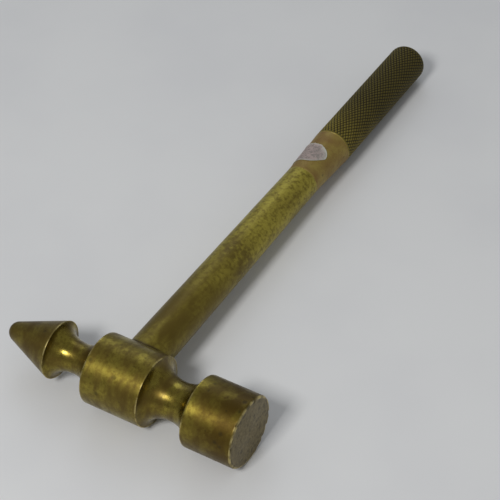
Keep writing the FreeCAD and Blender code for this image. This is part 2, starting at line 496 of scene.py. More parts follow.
@dataclass(frozen=True)
class ScrewThread:
    """A right-hand screw thread cut into one surface.

    Attributes:
        part: Name of the surface it is cut in.
        pitch: Advance in one turn, in millimetres.
        depth: Depth below the surface.
        start: Station where the thread starts.
        end: Station where it ends.
    """

    part: str
    pitch: float
    depth: float
    start: float
    end: float

    def __call__(self, surface: Surface) -> None:
        """Cut the thread, with a run-out of half a turn at each end.

        Args:
            surface: The surface to work on.
        """
        here = surface.part == self.part
        phase = surface.along / self.pitch + surface.angle / (2 * math.pi)
        valley = np.clip(2.4 * (1 - 2 * np.abs(phase - np.round(phase))) - 0.7, 0, 1)
        cut = valley * surface.within(self.start, self.end, 0.5 * self.pitch) * here
        surface.lift -= self.depth * cut
        # Painted shade and dirt in the thread's valleys.
        surface.soil_and_shade(0.7 * cut)


@dataclass(frozen=True)
class Dings:
    """Small round dents from use, scattered over one surface.

    Attributes:
        part: Name of the surface.
        count: How many there are.
        sizes: Smallest and largest radius, in millimetres.
        depths: Smallest and largest depth.
        seed: Seed of the scatter.
        flat: True on a disc across the spindle, False round the spindle.
    """

    part: str
    count: int
    sizes: tuple[float, float]
    depths: tuple[float, float]
    seed: int
    flat: bool = False

    def __call__(self, surface: Surface) -> None:
        """Press the dents in.

        Args:
            surface: The surface to work on.
        """
        here = surface.part == self.part
        if not here.any():
            return
        rng = np.random.default_rng(self.seed)
        across, up = surface.across, surface.up
        low, high = surface.along[here].min(), surface.along[here].max()
        reach = float(surface.radius[here].max())
        for _ in range(self.count):
            size = rng.uniform(*self.sizes)
            depth = rng.uniform(*self.depths)
            turn = rng.uniform(0, 2 * math.pi)
            share = rng.uniform()
            if self.flat:
                distance = reach * math.sqrt(share)
                gap = np.hypot(across - distance * math.cos(turn), up - distance * math.sin(turn))
            else:
                side = surface.turn_from(turn) * surface.radius
                gap = np.hypot(surface.along - (low + (high - low) * share), side)
            pit = np.exp(-(gap / size) ** 4) * here
            surface.lift -= depth * pit
            lip = np.exp(-((gap - 1.25 * size) / (0.3 * size)) ** 2) * here
            surface.lift += 0.18 * depth * lip
            # Painted shade and dirt in the dents.
            surface.soil_and_shade(0.5 * pit)


@dataclass(frozen=True)
class BatteredRim:
    """The edge of the striking face, spread outwards and chipped by blows.

    Attributes:
        edge: Station of the face along the head.
        spread: How far the metal is pushed out, in millimetres.
        chip: Depth of the larger chips.
        seed: Seed of the unevenness.
        spread_mm: Length behind the face over which the metal is pushed out.
        wear_mm: Length behind the face over which it is rubbed bright.
        chip_mm: Length of the chips along the head.
        chips: How many chips there are.
        inner_r: Radii outside which the metal is pushed out, chipped and rubbed.
    """

    edge: float
    spread: float
    chip: float
    seed: int
    spread_mm: float = 0.9
    wear_mm: float = 0.5
    chip_mm: float = 0.45
    chips: int = 26
    inner_r: tuple[float, float, float] = (9.6, 9.9, 10.2)

    def __call__(self, surface: Surface) -> None:
        """Push the rim out and knock chips off it.

        Args:
            surface: The surface to work on.
        """
        lobes = np.zeros_like(surface.angle)
        rng = np.random.default_rng(self.seed)
        for order in (2, 3, 5, 8, 13, 21):
            lobes += np.sin(order * surface.angle + rng.uniform(0, 2 * math.pi)) / math.sqrt(order)
        back = surface.along - self.edge
        spread_r, chip_r, wear_r = self.inner_r
        near = np.exp(-(back / self.spread_mm) ** 2) * (surface.radius > spread_r)
        surface.lift += self.spread * near * (0.5 + 0.35 * lobes) * (surface.part == "land")
        rubbed = np.exp(-(back / self.wear_mm) ** 2) * (surface.radius > wear_r)
        np.maximum(surface.wear, rubbed * np.clip(0.8 + 0.3 * lobes, 0, 1), out=surface.wear)
        for _ in range(self.chips):
            turn, width = rng.uniform(0, 2 * math.pi), rng.uniform(0.02, 0.09)
            depth = self.chip * rng.uniform(0.25, 1.0)
            bite = np.exp(-(surface.turn_from(turn) / width) ** 4) * np.exp(-(back / self.chip_mm) ** 2)
            bite *= surface.radius > chip_r
            surface.lift -= depth * bite
            # Painted shade and dirt in the chips.
            surface.soil_and_shade(0.6 * bite)


@dataclass(frozen=True)
class Uneven:
    """Slow unevenness that polishing and handling leave on turned metal.

    Attributes:
        height: Greatest rise or fall, in millimetres.
        length: Distance over which it changes, in millimetres.
        parts: Surfaces that it is on.
    """

    height: float
    length: float
    parts: tuple[str, ...]

    def __call__(self, surface: Surface) -> None:
        """Add the unevenness.

        Args:
            surface: The surface to work on.
        """
        here = np.isin(surface.part, self.parts)
        across, up = surface.across, surface.up
        for index in np.argwhere(here):
            key = tuple(index)
            spot = Vector((surface.along[key], across[key], up[key])) / self.length
            surface.lift[key] += self.height * noise.noise(spot)


# ---------------------------------------------------------------------------------------
# Finishes
# ---------------------------------------------------------------------------------------

Socket = bpy.types.NodeSocket
Share = Socket | tuple  # a socket, or one to ease: socket, low, high, result at low, at high


def srgb(code: str) -> tuple[float, float, float, float]:
    """Turn an sRGB hex value into the linear colour that shaders use.

    Args:
        code: The colour, such as "#8A7A3C".

    Returns:
        Linear red, green, blue and an alpha of 1.
    """
    channels = [int(code[k:k + 2], 16) / 255 for k in (1, 3, 5)]
    linear = [c / 12.92 if c <= 0.04045 else ((c + 0.055) / 1.055) ** 2.4 for c in channels]
    return (linear[0], linear[1], linear[2], 1.0)


class Coat:
    """A material while its layers are laid.

    Attributes:
        material: The material.
        tree: Its node tree.
        shader: Its shader.
        place: Position on the tool's axes in millimetres, so that patterns have real sizes.
        colour: Colour so far, as a socket or a hex value.
        oxide: Share of oxide so far.
    """

    def __init__(self, name: str, colour: str) -> None:
        """Start a material.

        Args:
            name: Name of the material.
            colour: Colour of its lowest layer.
        """
        self.material = bpy.data.materials.new(name)
        self.material.use_nodes = True
        self.tree = self.material.node_tree
        self.shader = self.tree.nodes["Principled BSDF"]
        self.colour: Socket | str = colour
        self.oxide: Socket | None = None
        start = -(AXES.turn().inverted() @ AXES.origin) / MM
        self.place = self.add("Mapping", [self.add("TexCoord", out="Object"), start, (AXES.slope, 0, 0),
                                          (1 / MM,) * 3])

    def fill(self, node: bpy.types.Node, inputs: dict | list | tuple) -> None:
        """Fill the input sockets of a node.

        Args:
            node: The node.
            inputs: What the sockets take, in their order or by name or number. A socket is
                linked, a hex value is a colour, and anything else is a constant.
        """
        for key, value in inputs.items() if isinstance(inputs, dict) else enumerate(inputs):
            if isinstance(value, Socket):
                self.tree.links.new(value, node.inputs[key])
            else:
                node.inputs[key].default_value = srgb(value) if isinstance(value, str) else value

    def add(self, kind: str, inputs: dict | list | tuple = (), out: int | str = 0,
            **settings: object) -> Socket:
        """Add a shader node with its settings and links.

        Args:
            kind: The node's type, without the "ShaderNode" in front.
            inputs: What its input sockets take, as for fill.
            out: Name or number of the output that is wanted.
            settings: Properties of the node.

        Returns:
            That output.
        """
        made = self.tree.nodes.new("ShaderNode" + kind)
        for key, value in settings.items():
            setattr(made, key, value)
        self.fill(made, inputs)
        return made.outputs[out]

    def where(self, *shares: Share) -> Socket:
        """Multiply shares together.

        Args:
            shares: The shares; those that come with a range are eased first.

        Returns:
            The socket that carries their product.
        """
        product = None
        for share in shares:
            if isinstance(share, tuple):
                share = self.add("MapRange", share, interpolation_type="SMOOTHSTEP")
            product = self.add("Math", [product, share], operation="MULTIPLY") if product else share
        return product

    def paint(self, colour: Socket | str, *shares: Share) -> Socket:
        """Lay a colour over the colour so far.

        Args:
            colour: The colour.
            shares: How much of it shows; all of them are multiplied together.

        Returns:
            The share that shows.
        """
        share = self.where(*shares)
        self.colour = self.add("Mix", {0: share, 6: self.colour, 7: colour}, 2, data_type="RGBA")
        return share

    def pattern(self, mm: float, detail: float, rough: float = 0.5, distortion: float = 0.0,
                stretch: tuple[float, float, float] | None = None) -> Socket:
        """Cloudy pattern of a real size.

        Args:
            mm: Size of the clouds, in millimetres.
            detail: How many finer layers it has.
            rough: How strong they are.
            distortion: How far it is warped.
            stretch: How it is scaled along X, Y and Z; below 1 draws it out.

        Returns:
            The socket that carries the pattern.
        """
        place = self.add("Mapping", {"Vector": self.place, "Scale": stretch}) if stretch else self.place
        return self.add("TexNoise", {"Vector": place, "Scale": 1 / mm, "Detail": detail,
                                     "Roughness": rough, "Distortion": distortion})

    def mark(self, key: str) -> Socket:
        """Value that the mesh carries, such as its wear."""
        return self.add("Attribute", out="Fac", attribute_name=key)


class Lay(Enum):
    """Direction in which the tool marks run round a piece."""

    HEAD = "X"
    HANDLE = "Y"
    NONE = "none"


@dataclass(frozen=True)
class AgedBrass:
    """Brass, turned on a lathe and left to tarnish in the hand and on the bench.

    The alloy stays a metal under a thin oxide: the eye reads a soft yellow-green sheen with
    browner, duller clouds, small dark spots, and bright yellow only where edges are rubbed.

    Attributes:
        name: Name of the material.
        clean: Colour where the metal is least tarnished.
        tarnish: Colour of the oxide clouds.
        grime_and_shade: Colour of the dark spots, and of the dirt and painted shade in grooves and corners.
        rubbed: Colour of edges rubbed bright.
        cloud_mm: Size of the clouds.
        cover: Share of the surface that the clouds take, from 0 to 1.
        rough_clean: Roughness of the least tarnished metal.
        rough_tarnish: Roughness of the clouds.
        lay: Direction of the tool marks.
        lay_mm: Spacing of the tool marks; a real one is about 0.1 mm, drawn coarser to show.
        lay_height: Height of the tool marks, in millimetres.
        spot_share: How much the small dark spots show.
        metal_clean: Share of bare metal where it is least tarnished; the rest is dull oxide.
        metal_tarnish: Share of bare metal in the clouds.
        polish_gain: How much smoother the unrubbed hollows are.
        stretch: How the clouds are scaled along X, Y and Z; below 1 draws them out.
        mottle: Share of oxide that the fine mottling adds.
        film: Weight of the thin clear film of oxide and old polish, which pales the highlights.
        film_rough: Roughness of that film.
        streak: How far the tool marks on the head draw its highlights out along it, from 0 to 1.
        mottle_mm: Size of the fine mottling.
        spot_mm: Size of the dark spots.
        spot_field_mm: Size of the fields in which the spots crowd together.
        rub_mm: Size of the patches in which edges are rubbed.
        grain_mm: Size of the fine unevenness in gloss.
    """

    name: str
    clean: str
    tarnish: str
    grime_and_shade: str
    rubbed: str
    cloud_mm: float = 6.0
    cover: float = 0.5
    rough_clean: float = 0.34
    rough_tarnish: float = 0.5
    lay: Lay = Lay.NONE
    lay_mm: float = 0.35
    lay_height: float = 0.004
    spot_share: float = 0.5
    metal_clean: float = 0.7
    metal_tarnish: float = 0.5
    polish_gain: float = 0.13
    stretch: tuple[float, float, float] = (1.0, 1.0, 1.0)
    mottle: float = 0.45
    film: float = 0.07
    film_rough: float = 0.3
    streak: float = 0.0
    mottle_mm: float = 1.3
    spot_mm: float = 0.8
    spot_field_mm: float = 5.0
    rub_mm: float = 2.4
    grain_mm: float = 0.35

    def build(self) -> bpy.types.Material:
        """Build the material.

        Returns:
            The material.
        """
        coat = Coat(self.name, self.clean)
        middle = 0.68 - 0.36 * self.cover
        # Broad clouds of oxide, then a fine mottling of the same colour.
        broad = coat.pattern(self.cloud_mm, 7.0, 0.6, 0.15, self.stretch)
        coat.oxide = coat.paint(self.tarnish, (broad, middle - 0.2, middle + 0.2))
        mottle = coat.pattern(self.mottle_mm, 5.0, 0.65)
        coat.paint(self.tarnish, (mottle, 0.4, 0.68, 0.0, self.mottle))
        # Dark spots, which crowd together in places.
        specks = coat.pattern(self.spot_mm, 4.0, 0.55)
        spots = coat.paint(self.grime_and_shade, (specks, 0.62, 0.7, 0.0, self.spot_share),
                           (coat.pattern(self.spot_field_mm, 2.0), 0.4, 0.6, 0.3, 1.0))
        self.local(coat)
        # Dirt and painted shade in grooves and corners, and edges that are rubbed bright in patches.
        coat.paint(self.grime_and_shade, (coat.mark("grime_and_shade"), 0.05, 0.85, 0.0, 0.92))
        rub = coat.paint(self.rubbed, (coat.mark("wear"), 0.15, 0.9),
                         (coat.pattern(self.rub_mm, 3.0), 0.38, 0.6, 0.1, 1.0))
        # Oxide is dull; polished hollows and rubbed edges are smoother than the rest.
        rough = coat.where((coat.oxide, 0.0, 1.0, self.rough_clean, self.rough_tarnish))
        smoother = coat.where((coat.mark("polish"), 0.0, 1.0, 0.0, self.polish_gain))
        rough = coat.add("Math", [rough, smoother], operation="SUBTRACT")
        grain = coat.where((coat.pattern(self.grain_mm, 3.0), 0.25, 0.75, -0.05, 0.07))
        rough = coat.add("Math", [rough, grain], operation="ADD")
        smoother = coat.where((rub, 0.0, 1.0, 0.0, 0.14))
        coat.fill(coat.shader, {
            "Base Color": coat.colour,
            "Roughness": coat.add("Math", [rough, smoother], operation="SUBTRACT", use_clamp=True),
            "Metallic": coat.where((coat.oxide, 0.0, 1.0, self.metal_clean, self.metal_tarnish)),
            "Normal": self.bump(coat, mottle, spots),
            "Coat Weight": self.film,
            "Coat Roughness": self.film_rough,
        })
        if self.lay is Lay.HEAD:
            marks = coat.add("Tangent", direction_type="RADIAL", axis="X")
            coat.fill(coat.shader, {"Tangent": marks, "Anisotropic": self.streak,
                                    "Anisotropic Rotation": 0.25})
        return coat.material

    def local(self, coat: Coat) -> None:
        """Lay the marks that belong to one place on the piece; plain aged brass has none."""

    def bump(self, coat: Coat, mottle: Socket, spots: Socket) -> Socket:
        """Tool marks, corrosion grain and pits too fine for the mesh.

        Args:
            coat: The material so far.
            mottle: Fine cloud pattern.
            spots: Share of dark spots.

        Returns:
            The socket that carries the bent normal.
        """
        grain = coat.add("Bump", {"Height": mottle, "Strength": 0.35, "Distance": 0.03 * MM})
        pitted = coat.add("Bump", {"Height": spots, "Normal": grain, "Strength": 0.5, "Distance": 0.04 * MM},
                          invert=True)
        if self.lay is Lay.NONE:
            return pitted
        stretch = (1.0, 0.03, 0.03) if self.lay is Lay.HEAD else (0.03, 1.0, 0.03)
        lines = coat.pattern(self.lay_mm, 2.0, stretch=stretch)
        return coat.add("Bump", {"Height": lines, "Normal": pitted, "Strength": 0.5,
                                 "Distance": self.lay_height * MM * 4})


@dataclass(frozen=True)
class HeadBrass(AgedBrass):
    """Aged brass of the head: its striking face is bare, beaten and greyer than the rest.

    Attributes:
        face_x: Station of the striking face.
        face: Colour of the beaten face.
        scuffed: Colour of the deeper scuffs in it.
        dulled: Colour of both ends of the head, which are the most tarnished.
        shank_r: Radius of the shank, round which the barrel is darkened with painted shade and dirt.
        face_mm: Distances behind the face between which its bare metal starts.
        dull_mm: Distances behind the face between which the dull end starts.
        dull_x: Stations between which the dull pein ends.
        crevice_mm: Distances from the shank between which the painted shade and dirt round it end.
        crevice_y: Stations between which that shade and dirt start, so that they are only on the shank's
            side.
    """

    face_x: float = 0.0
    face: str = "#80734F"
    scuffed: str = "#63583A"
    dulled: str = "#523F0A"
    shank_r: float = 6.5
    face_mm: tuple[float, float] = (0.35, 0.12)
    dull_mm: tuple[float, float] = (18.0, 6.0)
    dull_x: tuple[float, float] = (-26.0, -23.0)
    crevice_mm: tuple[float, float] = (0.1, 0.75)
    crevice_y: tuple[float, float] = (3.0, 5.0)

    def local(self, coat: Coat) -> None:
        """Bare the striking face, dull both ends, and darken the barrel with painted shade and dirt where
        the shank enters it.

        Args:
            coat: The material so far.
        """
        add = coat.add
        axes = add("SeparateXYZ", [coat.place]).node.outputs
        on_face = coat.where((axes["X"], *(self.face_x - mm for mm in self.face_mm)))
        scuffs = coat.where((coat.pattern(1.2, 8.0, 0.75), 0.36, 0.66))
        coat.paint(add("Mix", {0: scuffs, 6: self.face, 7: self.scuffed}, 2, data_type="RGBA"), on_face)
        face_end = coat.where((axes["X"], *(self.face_x - mm for mm in self.dull_mm), 0.0, 0.95))
        pein_end = coat.where((axes["X"], *self.dull_x, 0.65, 0.0))
        dull = coat.where(add("Math", [face_end, pein_end], operation="ADD"),
                          (coat.pattern(3.2, 5.0, 0.6), 0.4, 0.6, 0.6, 1.0))
        for share in (on_face, dull):
            coat.oxide = add("Math", [coat.oxide, share], operation="MAXIMUM")
        coat.paint(self.dulled, add("Math", [dull, on_face], operation="SUBTRACT", use_clamp=True))
        # Painted shade and dirt on the barrel round the shank's root.
        away = add("VectorMath", [add("CombineXYZ", [axes["X"], axes["Z"]])], "Value", operation="LENGTH")
        coat.paint(self.grime_and_shade, (away, *(self.shank_r + mm for mm in self.crevice_mm), 1.0, 0.0),
                   (axes["Y"], *self.crevice_y))


@dataclass(frozen=True)
class ShankBrass(AgedBrass):
    """Aged brass of the shank: yellow-green towards the grip, brown and blotched near the head.

    Attributes:
        head_y: Station below which the shank is at its darkest.
        grip_y: Station beyond which it is at its cleanest.
        barrel_r: Radius of the barrel, against which the shank is darkened with painted shade and dirt.
        blotch_y: Station of the large brown blotch.
        blotch_mm: Distances from that station between which the blotch ends.
        blotch_x: Stations between which it starts across the shank.
        blotch: Colour of the blotch.
        root_mm: Distances from the barrel between which the painted shade and dirt end.
    """

    head_y: float = 24.0
    grip_y: float = 70.0
    barrel_r: float = 11.0
    blotch_y: float = 57.0
    blotch_mm: tuple[float, float] = (1.5, 8.5)
    blotch_x: tuple[float, float] = (-3.0, 0.5)
    blotch: str = "#4A3510"
    root_mm: tuple[float, float] = (0.1, 1.1)

    def local(self, coat: Coat) -> None:
        """Darken the shank towards the head, blotch its middle, and darken its root with painted shade and
        dirt.

        Args:
            coat: The material so far.
        """
        add = coat.add
        axes = add("SeparateXYZ", [coat.place]).node.outputs
        cloudy = coat.pattern(4.5, 5.0, 0.55, stretch=(1.0, 0.3, 1.0))
        coat.paint(self.tarnish, (axes["Y"], self.head_y, self.grip_y, 1.0, 0.05),
                   (cloudy, 0.34, 0.62, 0.6, 1.0))
        offset = add("Math", [axes["Y"], self.blotch_y], operation="SUBTRACT")
        coat.paint(self.blotch, (add("Math", [offset], operation="ABSOLUTE"), *self.blotch_mm, 0.6, 0.0),
                   (axes["X"], *self.blotch_x), (coat.pattern(2.2, 6.0, 0.65), 0.36, 0.58, 0.1, 1.0))
        # Painted shade and dirt at the shank's root against the barrel.
        away = add("VectorMath", [add("CombineXYZ", [axes["Y"], axes["Z"]])], "Value", operation="LENGTH")
        coat.paint(self.grime_and_shade, (away, *(self.barrel_r + mm for mm in self.root_mm), 0.9, 0.0))


@dataclass(frozen=True)
class GripBrass(AgedBrass):
    """Aged brass of the grip: hands have darkened it, least beside the band.

    Attributes:
        band_y: Station where the grip meets the band.
        dark_y: Station beyond which it is at its darkest.
        handled: Colour of the metal where it is held.
    """

    band_y: float = 121.5
    dark_y: float = 146.0
    handled: str = "#594F20"

    def local(self, coat: Coat) -> None:
        """Darken the grip away from the band.

        Args:
            coat: The material so far.
        """
        along = coat.add("SeparateXYZ", [coat.place], "Y")
        coat.paint(self.handled, (along, self.band_y, self.dark_y, 0.0, 0.9))


@dataclass(frozen=True)
class GroundSteel:
    """Hardened tool steel, ground: cool grey, fine scratches along the grind, faint brown stain.

    Attributes:
        name: Name of the material.
        bare: Colour of the clean steel.
        stain: Colour of the stains.
        rough: Roughness of the clean steel.
        scratch_mm: Spacing of the scratches; real ones are finer, drawn coarser to show.
    """

    name: str
    bare: str = "#8E8F91"
    stain: str = "#5E5648"
    rough: float = 0.32
    scratch_mm: float = 0.12

    def build(self) -> bpy.types.Material:
        """Build the material.

        Returns:
            The material.
        """
        coat = Coat(self.name, self.bare)
        stained = coat.paint(self.stain, (coat.pattern(3.5, 5.0), 0.5, 0.72, 0.0, 0.65))
        # The stain colour also goes where the mesh carries dirt and painted shade.
        coat.paint(self.stain, coat.mark("grime_and_shade"))
        lines = coat.pattern(self.scratch_mm, 2.0, stretch=(0.06, 1.0, 0.06))
        coat.fill(coat.shader, {
            "Metallic": 1.0,
            "Base Color": coat.colour,
            "Roughness": coat.where((stained, 0.0, 0.65, self.rough, self.rough + 0.2)),
            "Normal": coat.add("Bump", {"Height": lines, "Strength": 0.4, "Distance": 0.01 * MM}),
        })
        return coat.material


@dataclass(frozen=True)
class LabelPaper:
    """Coated label paper, torn and thumbed: matt, pinkish white, grey where its face is rubbed off.

    Attributes:
        name: Name of the material.
        face: Colour of the coated face.
        rubbed: Colour where the coating is thin.
        torn: Colour of bare fibre at the tears.
    """

    name: str
    face: str = "#A5948E"
    rubbed: str = "#7E7670"
    torn: str = "#B9BBAE"

    def build(self) -> bpy.types.Material:
        """Build the material.

        Returns:
            The material.
        """
        coat = Coat(self.name, self.face)
        coat.paint(self.rubbed, (coat.pattern(1.1, 6.0, 0.7), 0.42, 0.62))
        coat.paint(self.torn, coat.mark("wear"))
        fibre = coat.pattern(0.15, 3.0)
        coat.fill(coat.shader, {
            "Roughness": 0.72,
            "Base Color": coat.colour,
            "Normal": coat.add("Bump", {"Height": fibre, "Strength": 0.5, "Distance": 0.03 * MM}),
        })
        return coat.material


@dataclass(frozen=True)
class PaleBoard:
    """Painted board under the tool: pale grey, matt, with hardly any cloudiness.

    Attributes:
        name: Name of the material.
        pale: Colour of the paint.
        dusty: Colour of the faint clouds on it.
    """

    name: str
    pale: str = "#E0E0DF"
    dusty: str = "#DBDBDB"

    def build(self) -> bpy.types.Material:
        """Build the material.

        Returns:
            The material.
        """
        coat = Coat(self.name, self.pale)
        coat.paint(self.dusty, (coat.pattern(60.0, 3.0), 0.35, 0.7))
        coat.fill(coat.shader, {"Roughness": 0.55, "Base Color": coat.colour})
        return coat.material


# ---------------------------------------------------------------------------------------
# The tool's sub-assemblies
# ---------------------------------------------------------------------------------------

def finish_piece(piece: bpy.types.Object, body: str, node: str,
                 material: bpy.types.Material) -> None:
    """Dress a piece, put it on its body and let it stand for its CAD node.

    Args:
        piece: The new object.
        body: The body it rides on.
        node: The CAD node it replaces.
        material: Its material.
    """
    piece.data.materials.append(material)
    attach(piece, body)
    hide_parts(node)
    log.info("%s: %d faces on body %s", piece.name, len(piece.data.polygons), body)


# Distance between rings in the 1 mm threads, and columns for each groove of a knurl.
THREAD_STEP = 0.13
COLUMNS_PER_GROOVE = 8


def cove(corner: Corner, throat_x: float, throat_r: float, falling: bool,
         count: int = 20) -> list[Corner]:
    """Corners of a quarter-elliptical hollow between a rim and the throat of a neck.

    Args:
        corner: The rim.
        throat_x: Station of the throat.
        throat_r: Radius of the throat.
        falling: True from the rim down to the throat, False from the throat up to the rim.
        count: Number of steps.

    Returns:
        The corners, in the order of travel, without the rim itself.
    """
    half_length, depth = corner.along - throat_x, corner.radius - throat_r
    turns = [k / count * math.pi / 2 for k in range(1, count + 1)]
    points = [(throat_x + half_length * math.cos(t), corner.radius - depth * math.sin(t)) for t in turns]
    if not falling:
        points = points[-2::-1]
    return [Corner(x, r, part="neck", step=0.8) for x, r in points]


@dataclass
class HammerHead:
    """Head turned from one bar: pein, two hollow necks, barrel and striking face.

    Attributes:
        pein_tip_r: Radius of the pein's rounded tip.
        pein_rim: Station and radius of the pein's rim.
        barrel: Stations of the barrel's two ends.
        face_rim: Station where the striking end starts.
        necks: Radii of the two throats.
        edge: Rounding of the barrel's edges.
        face_edge: Rounding of the striking face's edge.
        fine_mm: Length behind the face that gets finer rings, for the chips in its edge.
        tip_steps: Rings round the pein's tip.
        columns: Vertices round the head.
        reach: Station of the striking face, from the frame.
        radius: Radius of the barrel and of the striking end, from the frame.
    """

    pein_tip_r: float = 3.2
    pein_rim: tuple[float, float] = (-23.3, 9.15)
    barrel: tuple[float, float] = (-8.9, 10.4)
    face_rim: float = 25.0
    necks: tuple[float, float] = (4.8, 6.0)
    edge: float = 0.28
    face_edge: float = 0.6
    fine_mm: float = 2.4
    tip_steps: int = 12
    columns: int = 240
    reach: float = field(init=False)
    radius: float = field(init=False)

    def __post_init__(self) -> None:
        """Take the head's length and radius from the frame."""
        high = AXES.reach("hammer_head")[1]
        self.reach, self.radius = float(high[0]), float(high[2])

    def pein(self) -> list[Corner]:
        """Rounded tip and straight cone of the pein.

        Returns:
            The corners from the tip to the rim.
        """
        centre = -self.reach + self.pein_tip_r
        rim_x, rim_r = self.pein_rim
        away = math.hypot(rim_x - centre, rim_r)
        leave = math.atan2(rim_r, rim_x - centre) + math.acos(self.pein_tip_r / away)
        corners = []
        for k in range(self.tip_steps + 1):
            turn = math.pi + (leave - math.pi) * k / self.tip_steps
            corners.append(Corner(centre + self.pein_tip_r * math.cos(turn),
                                  abs(self.pein_tip_r * math.sin(turn)) if k else 0.0, part="pein"))
        return corners + [Corner(rim_x, rim_r, self.edge, "pein", 0.7)]

    def section(self) -> list[Corner]:
        """Half section of the whole head.

        Returns:
            The corners from the pein's tip to the middle of the striking face.
        """
        left, right = self.barrel
        pein_throat, face_throat = (self.pein_rim[0] + left) / 2, (right + self.face_rim) / 2
        corners = self.pein()
        corners += cove(corners[-1], pein_throat, self.necks[0], True)
        barrel_start = Corner(left, self.radius, self.edge, "neck", 0.7)
        corners += cove(barrel_start, pein_throat, self.necks[0], False) + [barrel_start]
        barrel_end = Corner(right, self.radius, self.edge, "barrel", 0.6)
        corners.append(barrel_end)
        corners += cove(barrel_end, face_throat, self.necks[1], True)
        land_start = Corner(self.face_rim, self.radius, self.edge, "neck", 0.7)
        corners += cove(land_start, face_throat, self.necks[1], False) + [land_start]
        corners.append(Corner(self.reach - self.fine_mm, self.radius, 0.0, "land", 0.6))
        corners.append(Corner(self.reach, self.radius, self.face_edge, "land", 0.2))
        corners.append(Corner(self.reach, 0.0, 0.0, "face", 0.3))
        return corners

    def build(self) -> None:
        """Make the head and dress it."""
        reliefs: list[Relief] = [
            Uneven(0.02, 7.0, ("pein", "barrel", "land")),
            Uneven(0.012, 2.2, ("face",)),
            Dings("barrel", 22, (0.3, 0.9), (0.01, 0.04), 11),
            Dings("land", 26, (0.25, 0.9), (0.01, 0.05), 12),
            Dings("pein", 14, (0.25, 0.7), (0.01, 0.04), 13),
            Dings("face", 90, (0.2, 0.7), (0.004, 0.014), 14, flat=True),
            BatteredRim(self.reach, 0.05, 0.16, 15),
        ]
        piece = spin("head_turned", self.section(), 0.22, self.columns, reliefs, Spindle.HEAD)
        brass = HeadBrass("brass_turned_head", clean="#958738", tarnish="#5F4D19", grime_and_shade="#2A220E",
                          rubbed="#BAA96C", cloud_mm=4.5, cover=0.5, rough_clean=0.33, rough_tarnish=0.52,
                          lay=Lay.HEAD, lay_height=0.003, spot_share=0.25, metal_clean=1.0,
                          metal_tarnish=0.85, stretch=(1.0, 0.45, 0.45), mottle=0.65, film=0.1,
                          streak=0.38, face_x=self.reach)
        finish_piece(piece, "hammer", "hammer_head", brass.build())


@dataclass
class Shank:
    """Tapered tube between the head and the first screwdriver, with its screw thread inside.

    Attributes:
        seat_y: Station where the full width starts inside the head.
        seat_r: Radius of the full width.
        taper_y: Station where the taper starts.
        tenon_r: Radius of the tenon in the head.
        bore_r: Radius of the hollow that holds the blade.
        bore_y: Station of the hollow's blind end.
        thread_r: Radius of the threaded mouth.
        thread_length: Length of the threaded mouth.
        mouth_r: Outer radius at the mouth.
        columns: Vertices round the shank.
    """

    seat_y: float = 3.0
    seat_r: float = 6.5
    taper_y: float = 9.5
    tenon_r: float = 4.0
    bore_r: float = 3.3
    bore_y: float = 34.0
    thread_r: float = 4.3
    thread_length: float = 8.0
    mouth_r: float = 5.72
    columns: int = 128

    def build(self) -> None:
        """Make the shank and dress it."""
        root, mouth = AXES.span("handle_shank")
        step_y = mouth - self.thread_length
        corners = [
            Corner(root, 0.0),
            Corner(root, self.tenon_r, 0.3),
            Corner(self.seat_y, self.tenon_r, 0.0),
            Corner(self.seat_y, self.seat_r, 0.0),
            Corner(self.taper_y, self.seat_r, 0.0, "shank", 2.0),
            Corner(mouth, self.mouth_r, 0.16, "shank", 1.2),
            Corner(mouth, self.thread_r, 0.25, "bore"),
            Corner(step_y, self.thread_r, 0.0, "thread", THREAD_STEP),
            Corner(step_y, self.bore_r, 0.0, "bore"),
            Corner(self.bore_y, self.bore_r, 0.0, "bore"),
            Corner(self.bore_y - 2.0, 0.0, 0.0, "bore"),
        ]
        reliefs: list[Relief] = [
            Uneven(0.025, 9.0, ("shank",)),
            Dings("shank", 18, (0.25, 0.8), (0.01, 0.04), 21),
            ScrewThread("thread", 1.0, 0.42, step_y, mouth - 0.3),
        ]
        piece = spin("shank_tube", corners, 0.25, self.columns, reliefs)
        brass = ShankBrass("brass_drawn_shank", clean="#A99C3C", tarnish="#635213", grime_and_shade="#3A2D10",
                           rubbed="#93872F", cloud_mm=5.0, cover=0.12, rough_clean=0.47, rough_tarnish=0.56,
                           lay=Lay.HANDLE, lay_height=0.002, spot_share=0.4, metal_clean=0.7,
                           metal_tarnish=0.6, stretch=(1.0, 0.3, 1.0), mottle=0.75)
        finish_piece(piece, "hammer", "handle_shank", brass.build())


